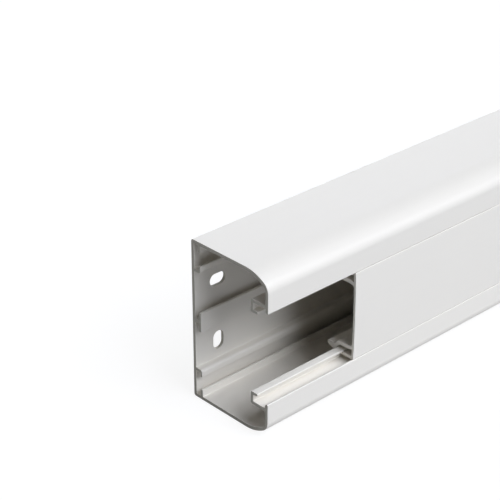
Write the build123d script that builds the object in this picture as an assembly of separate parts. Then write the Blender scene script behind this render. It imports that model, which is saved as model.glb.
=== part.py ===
from build123d import *
from math import sqrt
import os

# Wall trunking: an extruded PVC channel that is fixed to a wall, and its clip-on lid.
# All sizes are in millimetres.
# The trunking lies along X and stands on its lower wall, with its wall face on +Y and its lid on -Y.
# A section point is (depth, rise): depth runs out from the wall face, rise runs up from mid-height.
# Both sections are the same above and below mid-height.

# Base
length = 2000
height = 100
base_depth = 60
wall = 2
back_corner_radius = 1.5
inner_corner_radius = 0.5

# Curved shoulder between the top or bottom wall and the front
shoulder_reach = 17.4
shoulder_drop = 6.7
nose_radius = 7

# Front opening between the two lips
opening = 56
lip_inner_radius = 1.4
lip_outer_radius = 0.5

# Channel behind each lip, with the hook that holds the lid
channel_width = 9.3
channel_drop = 2.8
channel_floor = 2
channel_wall = 1.9
channel_corner_radius = 1.3
hook_stand = 3.25
hook_reach = 3.3
hook_root = 1.8
hook_tip = 1.5
hook_tip_radius = 0.5
hook_corner_radius = 0.8

# Ribs inside the back wall: a rail near each side wall, a keeper that faces it, and a tee between
rib_reach = 5
rib_tip_radius = 0.4
rail_rise = 30.8
rail_web = 1.6
rail_leg = 1.2
rail_leg_length = 4.4
rail_corner_radius = 1.8
rail_inner_radius = 1
keeper_gap = 3.7
keeper_thickness = 1.6
keeper_length = 4.4
tee_stem = 2
tee_flange = 1.8
tee_height = 12

# Fixing slots in the back wall, in pairs: the upper slot lies and the lower one stands
slot_length = 11.5
slot_width = 7.5
slot_rise = 19.5
slot_end_distance = 17
slot_pairs = 6

# Lid
lid_setback = 66
lid_thickness = 1.5
lid_crown = 0.5
lid_edge_radius = 0.5
lid_corner_radius = 0.35
lid_clearance = 0.2
foot_thickness = 2
foot_tip_radius = 0.4
tongue_thickness = 1.05
tongue_overlap = 1.75

# Legs of the lid, which clip over the hooks
leg_thickness = 2.3
leg_hook_gap = 2.55
leg_bend_radius = 1.6
leg_root_shift = 1
leg_root_length = 2.4
leg_root_radius = 1.6
heel_catch = 2.05
heel_radius = 0.6
toe_offset = 2.9
toe_length = 4.85
toe_tip = 2.2
toe_tip_radius = 0.9

# Places that several features share
half_height = height / 2
lip_rise = opening / 2
front_inside = base_depth - wall
channel_front = front_inside - channel_width
channel_rear = channel_front - channel_wall
channel_rise = lip_rise + channel_drop
hook_rise = lip_rise - hook_stand
hook_end = channel_front + hook_reach
rib_depth = wall + rib_reach
lid_rise = lip_rise - lid_clearance
wall_face_y = (base_depth + lid_crown) / 2


def upper_face(*points):
    """A flat face with the given corners."""
    return make_face(Polyline(*points, close=True))


def both_halves(upper):
    """The drawn upper half joined to its mirror image below mid-height."""
    return upper + mirror(upper, Plane.XZ)


def rounded(section, radius, *corners):
    """Round the corners at the given points, above and below mid-height."""
    chosen = []
    for depth, rise in corners:
        for side in (1, -1):
            chosen.append(section.vertices().sort_by_distance((depth, side * rise))[0])
    return fillet(chosen, radius)


def shell_section():
    """The base's closed outer wall, before the front is opened."""
    shoulder_start = (base_depth - shoulder_reach, half_height)
    nose = (base_depth, half_height - shoulder_drop)
    edges = Polyline((base_depth, 0), (0, 0), (0, half_height), shoulder_start)
    edges += TangentArc(shoulder_start, nose, tangent=(1, 0))
    edges += Line(nose, (base_depth, 0))
    outside = both_halves(make_face(edges))
    outside = rounded(outside, back_corner_radius, (0, half_height))
    outside = rounded(outside, nose_radius, nose)
    inside = offset(outside, -wall)
    return outside - inside


def channel_section():
    """The channel behind the upper lip, rooted in the front wall."""
    root = base_depth - wall / 2
    return upper_face(
        (root, channel_rise),
        (channel_front, channel_rise),
        (channel_front, hook_rise + hook_root),
        (hook_end, hook_rise + hook_tip),
        (hook_end, hook_rise),
        (channel_rear, hook_rise),
        (channel_rear, channel_rise + channel_floor),
        (root, channel_rise + channel_floor),
    )


def rail_section():
    """The L-shaped rail on the back wall."""
    leg_back = rib_depth - rail_leg
    return upper_face(
        (wall / 2, rail_rise),
        (rib_depth, rail_rise),
        (rib_depth, rail_rise + rail_leg_length),
        (leg_back, rail_rise + rail_leg_length),
        (leg_back, rail_rise + rail_web),
        (wall / 2, rail_rise + rail_web),
    )


def keeper_section():
    """The small rib on the top wall that faces the rail's leg."""
    near = wall + keeper_gap
    far = near + keeper_thickness
    root = half_height - wall / 2
    tip = half_height - wall - keeper_length
    return upper_face((near, root), (far, root), (far, tip), (near, tip))


def tee_section():
    """The upper half of the tee-shaped rib at mid-height."""
    flange_back = rib_depth - tee_flange
    return upper_face(
        (wall / 2, 0),
        (rib_depth, 0),
        (rib_depth, tee_height / 2),
        (flange_back, tee_height / 2),
        (flange_back, tee_stem / 2),
        (wall / 2, tee_stem / 2),
    )


def base_section():
    """The whole section of the base, with every corner rounded as the die leaves it."""
    section = shell_section() - Pos(base_depth, 0) * Rectangle(3 * wall, opening)
    section += both_halves(channel_section())
    section += both_halves(rail_section())
    section += both_halves(keeper_section())
    section += both_halves(tee_section())

    inside_top = half_height - wall
    keeper_tip = inside_top - keeper_length
    keeper_far = wall + keeper_gap + keeper_thickness
    rail_tip = rail_rise + rail_leg_length
    channel_back = channel_rise + channel_floor
    section = rounded(section, lip_inner_radius, (front_inside, lip_rise))
    section = rounded(section, lip_outer_radius, (base_depth, lip_rise))
    section = rounded(section, channel_corner_radius, (channel_rear, channel_back))
    section = rounded(section, hook_corner_radius, (channel_rear, hook_rise))
    section = rounded(section, rail_corner_radius, (rib_depth, rail_rise))
    section = rounded(section, rail_inner_radius, (rib_depth - rail_leg, rail_rise + rail_web))
    section = rounded(
        section,
        hook_tip_radius,
        (hook_end, hook_rise),
        (hook_end, hook_rise + hook_tip),
    )
    section = rounded(
        section,
        rib_tip_radius,
        (rib_depth, rail_tip),
        (rib_depth - rail_leg, rail_tip),
        (wall + keeper_gap, keeper_tip),
        (keeper_far, keeper_tip),
        (rib_depth, tee_height / 2),
        (rib_depth - tee_flange, tee_height / 2),
    )
    section = rounded(
        section,
        inner_corner_radius,
        (wall, inside_top),
        (wall, rail_rise),
        (wall, rail_rise + rail_web),
        (wall, tee_stem / 2),
        (rib_depth - tee_flange, tee_stem / 2),
        (wall + keeper_gap, inside_top),
        (keeper_far, inside_top),
        (front_inside, channel_rise),
        (front_inside, channel_back),
        (channel_front, channel_rise),
        (channel_front, hook_rise + hook_root),
    )
    return section


def crown_depth(rise):
    """How far out the lid's crowned outer face lies at this rise."""
    crown_radius = (lid_rise**2 + lid_crown**2) / (2 * lid_crown)
    return base_depth + lid_crown - crown_radius + sqrt(crown_radius**2 - rise**2)


def plate_section():
    """The lid's crowned plate, the same thickness all over."""
    corners = [(base_depth - depth, side * lid_rise) for depth in (0, lid_thickness) for side in (-1, 1)]
    outer_low, outer_high, inner_low, inner_high = corners
    edges = ThreePointArc(outer_low, (crown_depth(0), 0), outer_high)
    edges += Line(outer_high, inner_high)
    edges += ThreePointArc(inner_high, (crown_depth(0) - lid_thickness, 0), inner_low)
    edges += Line(inner_low, outer_low)
    return make_face(edges)


def foot_corners():
    """Corners of the lid's upper foot, which thins to a tongue that lies under the hook."""
    root = base_depth - lid_thickness / 2
    step = hook_end + lid_clearance
    tip = hook_end - tongue_overlap
    tongue_face = lid_rise - tongue_thickness
    foot_face = lid_rise - foot_thickness
    return {
        "outer root": (root, lid_rise),
        "outer tip": (tip, lid_rise),
        "inner tip": (tip, tongue_face),
        "step root": (step, tongue_face),
        "step edge": (step, foot_face),
        "inner root": (root, foot_face),
    }


def leg_corners():
    """Corners of the lid's upper leg, which bends at 45 degrees round the hook's back corner."""
    near = hook_rise - leg_hook_gap
    far = near - leg_thickness
    heel = hook_rise + heel_catch
    toe = far + toe_offset
    round_sum = channel_rear + hook_rise + 2 * hook_corner_radius
    near_sum = round_sum - sqrt(2) * (hook_corner_radius + lid_clearance)
    far_sum = near_sum - sqrt(2) * leg_thickness
    toe_end = near_sum - heel - toe_length
    root = base_depth - lid_thickness / 2
    knee = base_depth - lid_thickness - leg_root_length
    return {
        "far root": (root, far - leg_root_shift),
        "far knee": (knee, far),
        "far bend": (far_sum - far, far),
        "toe bend": (far_sum - toe, toe),
        "toe far tip": (toe_end, toe),
        "toe near tip": (toe_end, toe + toe_tip),
        "heel": (near_sum - heel, heel),
        "near bend": (near_sum - near, near),
        "near knee": (knee, near),
        "near root": (root, near - leg_root_shift),
    }


def lid_section():
    """The whole section of the lid, with its corners rounded."""
    foot = foot_corners()
    leg = leg_corners()
    plate_inside = base_depth - lid_thickness
    section = plate_section() + both_halves(upper_face(*foot.values()))
    section += both_halves(upper_face(*leg.values()))
    bends = [leg[name] for name in ("far knee", "far bend", "toe bend", "near bend", "near knee")]
    section = rounded(section, leg_bend_radius, *bends)
    section = rounded(section, heel_radius, leg["heel"])
    section = rounded(section, toe_tip_radius, leg["toe far tip"], leg["toe near tip"])
    section = rounded(section, foot_tip_radius, foot["outer tip"], foot["inner tip"], foot["step edge"])
    section = rounded(section, lid_edge_radius, (base_depth, lid_rise))
    section = rounded(section, leg_root_radius, (plate_inside, leg["far root"][1]))
    inner_corners = [(plate_inside, leg["near root"][1]), (plate_inside, foot["inner root"][1])]
    section = rounded(section, lid_corner_radius, foot["step root"], *inner_corners)
    return section


def extruded(section, run):
    """The section drawn out towards -X from the far end."""
    end = Plane(origin=(length / 2, wall_face_y, half_height), x_dir=(0, -1, 0), z_dir=(-1, 0, 0))
    return extrude(end * section, amount=run)


def fixing_slots():
    """The punched slots, as solids that run through the back wall."""
    face = Plane(origin=(0, wall_face_y, half_height), x_dir=(1, 0, 0), z_dir=(0, -1, 0))
    pitch = (length - 2 * slot_end_distance) / (slot_pairs - 1)
    pair = Pos(0, slot_rise) * SlotOverall(slot_length, slot_width)
    pair += Pos(0, -slot_rise) * SlotOverall(slot_length, slot_width, rotation=90)
    slots = []
    for number in range(slot_pairs):
        place = slot_end_distance - length / 2 + number * pitch
        slots.append(extrude(face * Pos(place, 0) * pair, amount=1.5 * wall))
    return slots


os.makedirs("parts", exist_ok=True)
base_profile = extruded(base_section(), length) - fixing_slots()
base_profile.label = "base_profile"
export_step(base_profile, "parts/base_profile.step")

lid = extruded(lid_section(), length - lid_setback)
lid.label = "lid"
export_step(lid, "parts/lid.step")
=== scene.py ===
from math import acos, atan2, ceil, cos, pi, radians, sin, sqrt, tan

import bpy
from mathutils import Matrix, Vector


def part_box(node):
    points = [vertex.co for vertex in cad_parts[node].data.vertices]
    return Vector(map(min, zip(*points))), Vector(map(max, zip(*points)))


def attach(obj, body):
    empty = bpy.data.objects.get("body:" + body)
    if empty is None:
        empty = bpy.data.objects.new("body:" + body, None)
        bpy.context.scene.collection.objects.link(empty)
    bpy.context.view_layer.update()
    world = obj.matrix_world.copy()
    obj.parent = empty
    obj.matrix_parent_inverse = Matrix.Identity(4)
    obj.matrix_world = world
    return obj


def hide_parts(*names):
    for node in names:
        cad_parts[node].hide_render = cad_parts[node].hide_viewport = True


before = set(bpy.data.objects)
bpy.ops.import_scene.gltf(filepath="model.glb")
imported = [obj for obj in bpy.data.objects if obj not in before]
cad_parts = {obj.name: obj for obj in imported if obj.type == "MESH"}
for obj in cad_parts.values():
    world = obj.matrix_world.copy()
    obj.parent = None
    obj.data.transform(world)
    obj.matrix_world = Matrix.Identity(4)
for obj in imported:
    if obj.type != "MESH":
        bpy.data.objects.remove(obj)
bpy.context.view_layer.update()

# Wall trunking: an extruded PVC channel and its clip-on lid, which is set back at the near end.
# Sizes are in millimetres, and those that are multiplied by mm are in metres. A point of the
# section is (depth, rise): depth runs out from the wall face and rise runs up from mid-height.
mm = 0.001
base_low, base_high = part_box("base_profile")
lid_low, lid_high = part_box("lid")
wall_face = base_high.y
mid_height = (base_low.z + base_high.z) / 2

# Base
height = 100
base_depth = 60
wall = 2
back_corner_radius = 1.5
inner_corner_radius = 0.5
shoulder_reach = 17.4
shoulder_drop = 6.7
nose_radius = 7
opening = 56
lip_inner_radius = 1.4
lip_outer_radius = 0.5

# Channel behind each lip, with the hook that holds the lid
channel_width = 9.3
channel_drop = 2.8
channel_floor = 2
channel_wall = 1.9
channel_corner_radius = 1.3
hook_stand = 3.25
hook_reach = 3.3
hook_root = 1.8
hook_tip = 1.5
hook_tip_radius = 0.5
hook_corner_radius = 0.8

# Ribs inside the back wall
rib_reach = 5
rib_tip_radius = 0.4
rail_rise = 30.8
rail_web = 1.6
rail_leg = 1.2
rail_leg_length = 4.4
rail_corner_radius = 1.8
rail_inner_radius = 1
keeper_gap = 3.7
keeper_thickness = 1.6
keeper_length = 4.4
tee_stem = 2
tee_flange = 1.8
tee_height = 12

# Fixing slots
slot_length = 11.5
slot_width = 7.5
slot_rise = 19.5
slot_end_distance = 17
slot_pairs = 6

# Lid
lid_thickness = 1.5
lid_crown = 0.5
lid_edge_radius = 0.5
lid_corner_radius = 0.35
lid_clearance = 0.2
foot_thickness = 2
foot_tip_radius = 0.4
tongue_thickness = 1.05
tongue_overlap = 1.75
leg_thickness = 2.3
leg_hook_gap = 2.55
leg_bend_radius = 1.6
leg_root_shift = 1
leg_root_length = 2.4
leg_root_radius = 1.6
heel_catch = 2.05
heel_radius = 0.6
toe_offset = 2.9
toe_length = 4.85
toe_tip = 2.2
toe_tip_radius = 0.9

# Edges left by the saw and the punch
saw_chamfer = 0.05
punch_chamfer = 0.1

# How finely curves are drawn, and how an end and its cut face are told from the rest
arc_step = radians(9)
crown_steps = 12
slot_corner_steps = 10
sharp_angle = radians(25)
end_tolerance = 0.1 * mm
cut_facing = 0.9

# Finishes. A grain is how often it repeats in a metre along X, Y and Z.
pvc_ior = 1.53
pvc_dark = (0.808, 0.771, 0.701, 1)
pvc_light = (0.839, 0.80, 0.728, 1)
pvc_roughness = 0.44
cloud_grain = (9, 22, 22)
cloud_share = 0.6
cloud_roughness = 0.06
die_line_grain = (0.7, 620, 620)
die_line_roughness = 0.08
die_line_depth = 0.02 * mm
die_line_strength = 0.5
fine_line_grain = (4, 2400, 2400)
fine_line_share = 0.3
# The base's cut colours hold painted shade: they are set well below its PVC so that the sawn end
# and the slot walls look shaded.
base_cut_colours_with_painted_shade = ((0.554, 0.52, 0.44, 1), (0.636, 0.60, 0.512, 1))
lid_cut_colours = ((0.82, 0.785, 0.708, 1), (0.882, 0.845, 0.765, 1))
cut_roughness = 0.62
cut_cloud_grain = (60, 60, 60)
cut_mark_grain = (300, 90, 1900)
cut_mark_roughness = 0.12
cut_mark_depth = 0.05 * mm
cut_mark_strength = 0.6

# Floor and lamps. The floor reaches so many metres each way. Its bounce is the grey that lights
# the part, and its glow and shade are the white that shows.
floor_reach = 12
floor_level = -0.3 * mm
floor_bounce = 0.43
floor_glow = 0.88
floor_shade = 0.16
lamp_colour = (0.868, 0.909, 1.0)
lamp_spread = radians(30)

# Places that follow from these sizes
half_height = height / 2
lip_rise = opening / 2
front_inside = base_depth - wall
channel_front = front_inside - channel_width
channel_rear = channel_front - channel_wall
channel_rise = lip_rise + channel_drop
hook_rise = lip_rise - hook_stand
hook_end = channel_front + hook_reach
rib_depth = wall + rib_reach
lid_rise = lip_rise - lid_clearance
lid_inside = base_depth - lid_thickness


def arc(centre, radius, start, end, step=arc_step):
    """Points on an arc, from one direction to the other."""
    count = ceil(abs(end - start) / step)
    turns = [start + (end - start) * n / count for n in range(count + 1)]
    return [(centre[0] + radius * cos(turn), centre[1] + radius * sin(turn)) for turn in turns]


def square(points):
    """The points as corners that need no rounding."""
    return [(depth, rise, 0) for depth, rise in points]


def rounded(corners):
    """The closed line through the corners, each rounded by its own radius."""
    line = []
    for n, (depth, rise, radius) in enumerate(corners):
        corner = Vector((depth, rise))
        if not radius:
            line.append(corner)
            continue
        before = (Vector(corners[n - 1][:2]) - corner).normalized()
        after = (Vector(corners[(n + 1) % len(corners)][:2]) - corner).normalized()
        half_angle = acos(before.dot(after)) / 2
        centre = corner + (before + after).normalized() * radius / sin(half_angle)
        first = corner + before * radius / tan(half_angle) - centre
        last = corner + after * radius / tan(half_angle) - centre
        start = atan2(first.y, first.x)
        turn = (atan2(last.y, last.x) - start + pi) % (2 * pi) - pi
        line += [Vector(point) for point in arc(centre, radius, start, start + turn)]
    return line


def both_halves(upper):
    """The upper half's corners with their mirror image, as one closed line."""
    lower = [(depth, -rise, radius) for depth, rise, radius in reversed(upper) if rise]
    return rounded(upper + lower)


def shoulder(inset):
    """Points down the curved shoulder and round the nose, this far inside the outer face."""
    radius = (shoulder_reach**2 + shoulder_drop**2) / (2 * shoulder_drop)
    start = (base_depth - shoulder_reach, half_height - radius)
    nose_depth = base_depth - nose_radius
    nose_rise = start[1] + sqrt((radius - nose_radius) ** 2 - (nose_depth - start[0]) ** 2)
    meet = atan2(nose_rise - start[1], nose_depth - start[0])
    curve = arc(start, radius - inset, pi / 2, meet, arc_step / 3)
    return square(curve + arc((nose_depth, nose_rise), nose_radius - inset, meet, 0)[1:])


def base_outline():
    """The base's section: back along the inside, out over the lip, and round the outside."""
    inside_top = half_height - wall
    channel_back = channel_rise + channel_floor
    keeper_near = wall + keeper_gap
    keeper_far = keeper_near + keeper_thickness
    keeper_tip = inside_top - keeper_length
    leg_back = rib_depth - rail_leg
    rail_tip = rail_rise + rail_leg_length
    flange_back = rib_depth - tee_flange
    upper = [(0, half_height, back_corner_radius), *shoulder(0)]
    upper += [
        (base_depth, lip_rise, lip_outer_radius),
        (front_inside, lip_rise, lip_inner_radius),
        (front_inside, channel_rise, inner_corner_radius),
        (channel_front, channel_rise, inner_corner_radius),
        (channel_front, hook_rise + hook_root, inner_corner_radius),
        (hook_end, hook_rise + hook_tip, hook_tip_radius),
        (hook_end, hook_rise, hook_tip_radius),
        (channel_rear, hook_rise, hook_corner_radius),
        (channel_rear, channel_back, channel_corner_radius),
        (front_inside, channel_back, inner_corner_radius),
        *reversed(shoulder(wall)),
        (keeper_far, inside_top, inner_corner_radius),
        (keeper_far, keeper_tip, rib_tip_radius),
        (keeper_near, keeper_tip, rib_tip_radius),
        (keeper_near, inside_top, inner_corner_radius),
        (wall, inside_top, inner_corner_radius),
        (wall, rail_rise + rail_web, inner_corner_radius),
        (leg_back, rail_rise + rail_web, rail_inner_radius),
        (leg_back, rail_tip, rib_tip_radius),
        (rib_depth, rail_tip, rib_tip_radius),
        (rib_depth, rail_rise, rail_corner_radius),
        (wall, rail_rise, inner_corner_radius),
        (wall, tee_stem / 2, inner_corner_radius),
        (flange_back, tee_stem / 2, inner_corner_radius),
        (flange_back, tee_height / 2, rib_tip_radius),
        (rib_depth, tee_height / 2, rib_tip_radius),
    ]
    return both_halves(upper[::-1])


def crown_depth(rise):
    """How far out the lid's crowned outer face lies at this rise."""
    radius = (lid_rise**2 + lid_crown**2) / (2 * lid_crown)
    return base_depth + lid_crown - radius + sqrt(radius**2 - rise**2)


def crown(inset, end_rise):
    """Points on the crowned plate, this far inside its outer face, from mid-height up."""
    rises = [end_rise * n / crown_steps for n in range(crown_steps)]
    return square([(crown_depth(rise) - inset, rise) for rise in rises])


def leg_root(rise, radius):
    """Where the leg's face that leaves the knee at this rise meets the plate."""
    knee = lid_inside - leg_root_length
    slope = leg_root_shift / (leg_root_length + lid_thickness / 2)
    depth = crown_depth(rise) - lid_thickness
    return (depth, rise - (depth - knee) * slope, radius)


def lid_outline():
    """The lid's section: the crowned plate, the foot with its tongue, and the hooked leg."""
    foot_end = hook_end - tongue_overlap
    foot_step = hook_end + lid_clearance
    foot_face = lid_rise - foot_thickness
    tongue_face = lid_rise - tongue_thickness
    near = hook_rise - leg_hook_gap
    far = near - leg_thickness
    heel = hook_rise + heel_catch
    toe = far + toe_offset
    knee = lid_inside - leg_root_length
    near_sum = channel_rear + hook_rise + 2 * hook_corner_radius
    near_sum -= sqrt(2) * (hook_corner_radius + lid_clearance)
    far_sum = near_sum - sqrt(2) * leg_thickness
    toe_end = near_sum - heel - toe_length
    far_root = leg_root(far, leg_root_radius)
    upper = [
        *crown(0, lid_rise),
        (base_depth, lid_rise, lid_edge_radius),
        (foot_end, lid_rise, foot_tip_radius),
        (foot_end, tongue_face, foot_tip_radius),
        (foot_step, tongue_face, lid_corner_radius),
        (foot_step, foot_face, foot_tip_radius),
        (crown_depth(foot_face) - lid_thickness, foot_face, lid_corner_radius),
        leg_root(near, lid_corner_radius),
        (knee, near, leg_bend_radius),
        (near_sum - near, near, leg_bend_radius),
        (near_sum - heel, heel, heel_radius),
        (toe_end, toe + toe_tip, toe_tip_radius),
        (toe_end, toe, toe_tip_radius),
        (far_sum - toe, toe, leg_bend_radius),
        (far_sum - far, far, leg_bend_radius),
        (knee, far, leg_bend_radius),
        far_root,
        *reversed(crown(lid_thickness, far_root[1] - 2 * leg_root_radius)),
    ]
    return both_halves(upper)


class Signal:
    """One output of a node. Sums and products of signals and numbers add Math nodes."""

    def __init__(self, nodes, socket):
        self.nodes = nodes
        self.socket = socket

    def other(self, output):
        """Another output of the same node."""
        return Signal(self.nodes, self.socket.node.outputs[output])

    def __add__(self, value):
        return self.nodes.maths("ADD", self, value)

    def __sub__(self, value):
        return self.nodes.maths("SUBTRACT", self, value)

    def __rsub__(self, value):
        return self.nodes.maths("SUBTRACT", value, self)

    def __mul__(self, value):
        return self.nodes.maths("MULTIPLY", self, value)

    def __gt__(self, value):
        return self.nodes.maths("GREATER_THAN", self, value)

    __radd__ = __add__
    __rmul__ = __mul__


class Nodes:
    """Adds nodes to one tree: a node's settings first, then the values or links of its sockets."""

    def __init__(self, tree):
        self.tree = tree

    def add(self, kind, sockets, output=0, **settings):
        """A new node's output. A list holds several links for one socket."""
        node = self.tree.nodes.new(kind)
        for name, setting in settings.items():
            setattr(node, name, setting)
        for name, value in sockets.items():
            for item in value if isinstance(value, list) else [value]:
                if isinstance(item, Signal):
                    self.tree.links.new(item.socket, node.inputs[name])
                else:
                    node.inputs[name].default_value = item
        return Signal(self, node.outputs[output])

    def maths(self, operation, *values):
        return self.add("ShaderNodeMath", dict(enumerate(values)), operation=operation)

    def mixed_colour(self, share, first, second):
        """The first colour where the share is 0, and the second where it is 1."""
        # A Mix node's colours are its sockets 6 and 7 and its output 2
        sockets = {0: share, 6: first, 7: second}
        return self.add("ShaderNodeMix", sockets, output=2, data_type="RGBA")


def new_finish(name):
    """An empty material with its tree."""
    material = bpy.data.materials.new(name)
    material.use_nodes = True
    material.node_tree.nodes.clear()
    return material, Nodes(material.node_tree)


def surface(nodes, shader, kind="ShaderNodeOutputMaterial"):
    """End the tree in this shader."""
    output = nodes.tree.nodes.new(kind)
    nodes.tree.links.new(shader.socket, output.inputs["Surface"])


def noise(nodes, place, stretch, detail):
    """Noise between 0 and 1 whose grain is stretched differently along X, Y and Z."""
    stretched = nodes.add("ShaderNodeMapping", {"Vector": place, "Scale": stretch})
    return nodes.add("ShaderNodeTexNoise", {"Vector": stretched, "Scale": 1.0, "Detail": detail})


def plastic(nodes, colour, roughness, relief, depth, strength):
    """PVC's shader, with a bump this deep where the relief goes from 0 to 1."""
    bump = nodes.add("ShaderNodeBump", {"Strength": strength, "Distance": depth, "Height": relief})
    look = {"Base Color": colour, "Roughness": roughness, "IOR": pvc_ior, "Normal": bump}
    return nodes.add("ShaderNodeBsdfPrincipled", look)


def extruded_pvc():
    """Satin white PVC as it leaves the die: faint lines along the length and soft clouds."""
    material, nodes = new_finish("extruded_pvc")
    place = nodes.add("ShaderNodeTexCoord", {}, output="Object")
    clouds = noise(nodes, place, cloud_grain, detail=2)
    lines = noise(nodes, place, die_line_grain, detail=3)
    fine_lines = noise(nodes, place, fine_line_grain, detail=1)
    tone = clouds * cloud_share + lines * (1 - cloud_share)
    relief = lines * (1 - fine_line_share) + fine_lines * fine_line_share
    roughness = pvc_roughness + lines * die_line_roughness + clouds * cloud_roughness
    colour = nodes.mixed_colour(tone, pvc_dark, pvc_light)
    shader = plastic(nodes, colour, roughness, relief, die_line_depth, die_line_strength)
    surface(nodes, shader)
    return material


def cut_pvc(name, darker_cut_colour, lighter_cut_colour):
    """The same PVC cut by a saw or a punch: between two colours, with fine marks, and the base's
    pair darkened by painted shade.
    """
    material, nodes = new_finish(name)
    place = nodes.add("ShaderNodeTexCoord", {}, output="Object")
    clouds = noise(nodes, place, cut_cloud_grain, detail=2)
    marks = noise(nodes, place, cut_mark_grain, detail=2)
    roughness = cut_roughness + marks * cut_mark_roughness
    colour = nodes.mixed_colour((marks + clouds) * 0.5, darker_cut_colour, lighter_cut_colour)
    shader = plastic(nodes, colour, roughness, marks, cut_mark_depth, cut_mark_strength)
    surface(nodes, shader)
    return material


def new_tree(name, sizes):
    """A geometry tree with a mesh input, these named sizes, and a mesh output."""
    tree = bpy.data.node_groups.new(name, "GeometryNodeTree")
    tree.interface.new_socket("Geometry", in_out="INPUT", socket_type="NodeSocketGeometry")
    for label, kind in sizes.items():
        tree.interface.new_socket(label, in_out="INPUT", socket_type="NodeSocket" + kind)
    tree.interface.new_socket("Geometry", in_out="OUTPUT", socket_type="NodeSocketGeometry")
    nodes = Nodes(tree)
    entry = nodes.add("NodeGroupInput", {}, output="Geometry")
    return tree, nodes, entry


def end_tree(nodes, mesh):
    """End the tree in this mesh."""
    output = nodes.tree.nodes.new("NodeGroupOutput")
    nodes.tree.links.new(mesh.socket, output.inputs["Geometry"])


def vector(nodes, x=0.0, y=0.0, z=0.0):
    """A vector from three signals or numbers."""
    return nodes.add("ShaderNodeCombineXYZ", {"X": x, "Y": y, "Z": z})


def run_component(nodes, kind):
    """How far a position or a normal goes along X."""
    return nodes.add("ShaderNodeSeparateXYZ", {"Vector": nodes.add(kind, {})})


def edge_weight(nodes, mesh, edges, weight):
    """Mark the chosen edges for the bevel, which is as wide as the punch's chamfer at weight 1."""
    sockets = {"Geometry": mesh, "Selection": edges, "Name": "bevel_weight_edge", "Value": weight}
    return nodes.add("GeometryNodeStoreNamedAttribute", sockets, data_type="FLOAT", domain="EDGE")


def realized(nodes, mesh):
    """The mesh with its instances made real."""
    return nodes.add("GeometryNodeRealizeInstances", {"Geometry": mesh})


def coated(nodes, mesh, finish, faces=True):
    """Give the chosen faces this finish."""
    sockets = {"Geometry": mesh, "Selection": faces, "Material": finish}
    return nodes.add("GeometryNodeSetMaterial", sockets)


def swept(nodes, section, start, end):
    """A closed solid with this section along a straight line."""
    line = nodes.add("GeometryNodeCurvePrimitiveLine", {"Start": start, "End": end})
    sockets = {"Curve": line, "Profile Curve": section, "Fill Caps": True}
    return nodes.add("GeometryNodeCurveToMesh", sockets)


def extrusion_tree():
    """Draws a section out along X and caps it. The two caps are saw cuts."""
    sizes = {name: "Float" for name in ("Near End", "Far End", "Wall Face", "Mid Height")}
    sizes |= {"Wall Finish": "Material", "Cut Finish": "Material"}
    tree, nodes, entry = new_tree("extrusion", sizes)
    given = entry.other
    section = nodes.add("GeometryNodeMeshToCurve", {"Mesh": entry})
    near, far = [
        vector(nodes, given(end), given("Wall Face"), given("Mid Height"))
        for end in ("Near End", "Far End")
    ]
    solid = swept(nodes, section, near, far)
    along = run_component(nodes, "GeometryNodeInputPosition")
    middle = (given("Near End") + given("Far End")) * 0.5
    reach = (given("Far End") - given("Near End")) * 0.5
    at_end = nodes.maths("ABSOLUTE", along - middle) > reach - end_tolerance
    whole = realized(nodes, edge_weight(nodes, solid, at_end, saw_chamfer / punch_chamfer))
    facing = run_component(nodes, "GeometryNodeInputNormal")
    is_cut = nodes.maths("ABSOLUTE", facing) > cut_facing
    walls = coated(nodes, whole, given("Wall Finish"))
    end_tree(nodes, coated(nodes, walls, given("Cut Finish"), is_cut))
    return tree


def slot_tree():
    """Punches pairs of fixing slots through the back wall: the upper lies and the lower stands."""
    lengths = ("Slot Length", "Slot Width", "Depth")
    places = ("First Slot", "Pitch", "Slot Rise", "Wall Face", "Mid Height")
    sizes = {name: "Float" for name in lengths + places}
    sizes |= {"Pairs": "Int", "Cut Finish": "Material"}
    tree, nodes, entry = new_tree("fixing_slots", sizes)
    given = entry.other
    blank = {"Width": given("Slot Length"), "Height": given("Slot Width")}
    rounding = {
        "Curve": nodes.add("GeometryNodeCurvePrimitiveQuadrilateral", blank),
        "Count": slot_corner_steps,
        "Radius": given("Slot Width") * 0.5,
        "Limit Radius": True,
    }
    obround = nodes.add("GeometryNodeFilletCurve", rounding, mode="POLY")
    below, above = vector(nodes, z=given("Depth") * -1), vector(nodes, z=given("Depth"))
    punch = swept(nodes, obround, below, above)
    rows = []
    for turn, side in ((0, 1), (pi / 2, -1)):
        rise = given("Mid Height") + given("Slot Rise") * side
        start = vector(nodes, given("First Slot"), given("Wall Face"), rise)
        step = vector(nodes, given("Pitch"))
        line = {"Count": given("Pairs"), "Start Location": start, "Offset": step}
        points = nodes.add("GeometryNodeMeshLine", line)
        row = {"Points": points, "Instance": punch, "Rotation": (pi / 2, turn, 0)}
        rows.append(nodes.add("GeometryNodeInstanceOnPoints", row))
    punches = realized(nodes, nodes.add("GeometryNodeJoinGeometry", {0: rows}))
    punches = coated(nodes, punches, given("Cut Finish"))
    meshes = {"Mesh 1": entry, "Mesh 2": punches}
    holed = nodes.add("GeometryNodeMeshBoolean", meshes, operation="DIFFERENCE", solver="EXACT")
    marked = edge_weight(nodes, holed, holed.other("Intersecting Edges"), 1.0)
    end_tree(nodes, realized(nodes, marked))
    return tree


def use_tree(piece, tree, values):
    """Put a geometry tree on the piece, with its inputs set by their identifiers."""
    modifier = piece.modifiers.new(tree.name, "NODES")
    modifier.node_group = tree
    for socket in tree.interface.items_tree:
        if socket.in_out == "INPUT" and socket.name in values:
            modifier[socket.identifier] = values[socket.name]


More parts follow.
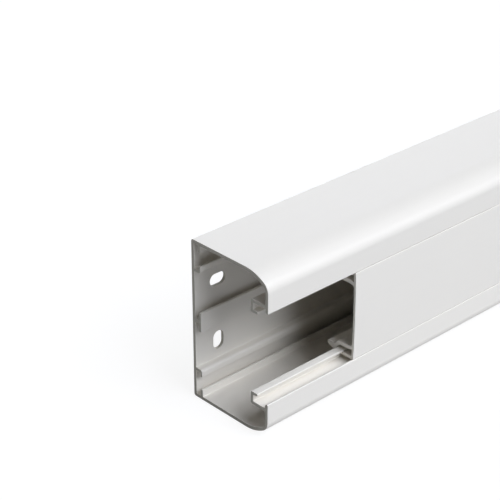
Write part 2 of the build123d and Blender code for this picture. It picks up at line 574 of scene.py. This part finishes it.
def drawn_section(name, outline):
    """An object that holds the section as a closed line of edges."""
    mesh = bpy.data.meshes.new(name)
    points = [(point.x * mm, point.y * mm, 0) for point in outline]
    edges = [(n, (n + 1) % len(points)) for n in range(len(points))]
    mesh.from_pydata(points, edges, [])
    piece = bpy.data.objects.new(name, mesh)
    bpy.context.scene.collection.objects.link(piece)
    return piece


def finished(piece):
    """The piece as a plain mesh, with every modifier applied."""
    graph = bpy.context.evaluated_depsgraph_get()
    mesh = bpy.data.meshes.new_from_object(piece.evaluated_get(graph))
    piece.modifiers.clear()
    piece.data = mesh
    return piece


def with_edges(piece):
    """Chamfer the marked edges and shade the faces as the section's true curves."""
    bevel = piece.modifiers.new("chamfer", "BEVEL")
    bevel.limit_method = "WEIGHT"
    bevel.width = punch_chamfer * mm
    bevel.segments = 1
    finished(piece)
    piece.data.shade_smooth()
    piece.data.set_sharp_from_angle(angle=sharp_angle)
    normals = piece.modifiers.new("normals", "WEIGHTED_NORMAL")
    normals.keep_sharp = True
    return finished(piece)


def extruded_piece(name, outline, low, high, cut_finish):
    """A piece drawn from its section between these two corners of its box."""
    piece = drawn_section(name, outline)
    ends = {"Near End": low.x, "Far End": high.x}
    seat = {"Wall Face": wall_face, "Mid Height": mid_height}
    finishes = {"Wall Finish": wall_finish, "Cut Finish": cut_finish}
    use_tree(piece, extrusion, ends | seat | finishes)
    return piece


def seated(piece, node):
    """Put the finished piece in its node's place."""
    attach(piece, "root")
    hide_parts(node)


def aimed(direction):
    """The turn that points a lamp's or a camera's -Z along this direction."""
    return direction.to_track_quat("-Z", "Y")


def seen_directly(nodes):
    """1 for the rays that show the background itself, from the camera, a gloss or a clear body."""
    camera = nodes.add("ShaderNodeLightPath", {}, output="Is Camera Ray")
    either = nodes.maths("MAXIMUM", camera, camera.other("Is Glossy Ray"))
    return nodes.maths("MAXIMUM", either, camera.other("Is Transmission Ray"))


def floor_finish():
    """A white floor that sends little light back, so that the cut ends stay in shade."""
    material, nodes = new_finish("white_floor")
    bounce, shaded = [
        nodes.add("ShaderNodeBsdfDiffuse", {"Color": (grey, grey, grey, 1)})
        for grey in (floor_bounce, floor_shade)
    ]
    glow = nodes.add("ShaderNodeEmission", {"Strength": floor_glow})
    shown = nodes.add("ShaderNodeAddShader", {0: glow, 1: shaded})
    either = {0: seen_directly(nodes), 1: bounce, 2: shown}
    surface(nodes, nodes.add("ShaderNodeMixShader", either))
    return material


def studio_world():
    """Make the background white. It shows in glosses too but lights nothing."""
    world = bpy.data.worlds.new("studio")
    world.use_nodes = True
    world.node_tree.nodes.clear()
    nodes = Nodes(world.node_tree)
    white = {"Color": (1, 1, 1, 1), "Strength": seen_directly(nodes)}
    surface(nodes, nodes.add("ShaderNodeBackground", white), "ShaderNodeOutputWorld")
    bpy.context.scene.world = world


def sun(name, heading, elevation, strength):
    """Add a soft lamp, so many degrees round from the front, anticlockwise from above, and up."""
    data = bpy.data.lights.new(name, "SUN")
    data.energy = strength
    data.color = lamp_colour
    data.angle = lamp_spread
    lamp = bpy.data.objects.new(name, data)
    turn, lift = radians(heading), radians(elevation)
    towards = Vector((sin(turn) * cos(lift), -cos(turn) * cos(lift), sin(lift)))
    lamp.rotation_euler = aimed(-towards).to_euler()
    bpy.context.scene.collection.objects.link(lamp)


wall_finish = extruded_pvc()
# The base's cut finish carries painted shade in its colours.
base_cut_with_painted_shade = cut_pvc("sawn_base_pvc_painted_shade", *base_cut_colours_with_painted_shade)
lid_cut = cut_pvc("sawn_lid_pvc", *lid_cut_colours)
extrusion = extrusion_tree()

base = extruded_piece("base_extrusion", base_outline(), base_low, base_high, base_cut_with_painted_shade)
slots = {
    "Slot Length": slot_length * mm,
    "Slot Width": slot_width * mm,
    "Slot Rise": slot_rise * mm,
    "First Slot": base_low.x + slot_end_distance * mm,
    "Pitch": (base_high.x - base_low.x - 2 * slot_end_distance * mm) / (slot_pairs - 1),
    "Wall Face": wall_face,
    "Mid Height": mid_height,
    "Depth": 2 * wall * mm,
    "Pairs": slot_pairs,
    # The slot walls take the base's cut finish, painted shade included.
    "Cut Finish": base_cut_with_painted_shade,
}
use_tree(base, slot_tree(), slots)
lid = extruded_piece("lid_extrusion", lid_outline(), lid_low, lid_high, lid_cut)
seated(with_edges(base), "base_profile")
seated(with_edges(lid), "lid")

# Floor, world and lamps
floor_mesh = bpy.data.meshes.new("floor")
signs = ((-1, -1), (1, -1), (1, 1), (-1, 1))
corners = [(x * floor_reach, y * floor_reach, floor_level) for x, y in signs]
floor_mesh.from_pydata(corners, [], [(0, 1, 2, 3)])
floor_mesh.materials.append(floor_finish())
floor = bpy.data.objects.new("floor", floor_mesh)
bpy.context.scene.collection.objects.link(floor)
studio_world()
sun("front", 0, 40, 1.39)
sun("front_high", 0, 65, 0.28)
sun("front_low", 0, 15, 0.24)
sun("right", 30, 40, 1.025)
sun("right_high", 30, 65, 1.11)
sun("back_right", 135, 15, 0.48)
sun("back", 170, 7, 1.2)

# Camera, where the photograph was taken from, in metres
focal_length = 111.73
sensor_width = 36
farthest = 50
camera_place = Vector((-1.47863, -0.53013, 0.48636))
heading, pitch, roll = radians(47.041), radians(28.123), radians(0.079)
camera_data = bpy.data.cameras.new("camera")
camera_data.lens = focal_length
camera_data.sensor_width = sensor_width
camera_data.clip_end = farthest
camera = bpy.data.objects.new("camera", camera_data)
forward = Vector((cos(pitch) * cos(heading), cos(pitch) * sin(heading), -sin(pitch)))
right = forward.cross(Vector((0, 0, 1))).normalized()
up = right.cross(forward)
level = Matrix((right, up, -forward)).transposed().to_4x4()
camera.matrix_world = Matrix.Translation(camera_place) @ level @ Matrix.Rotation(-roll, 4, "Z")
bpy.context.scene.collection.objects.link(camera)
bpy.context.scene.camera = camera
bpy.context.scene.view_settings.view_transform = "Standard"
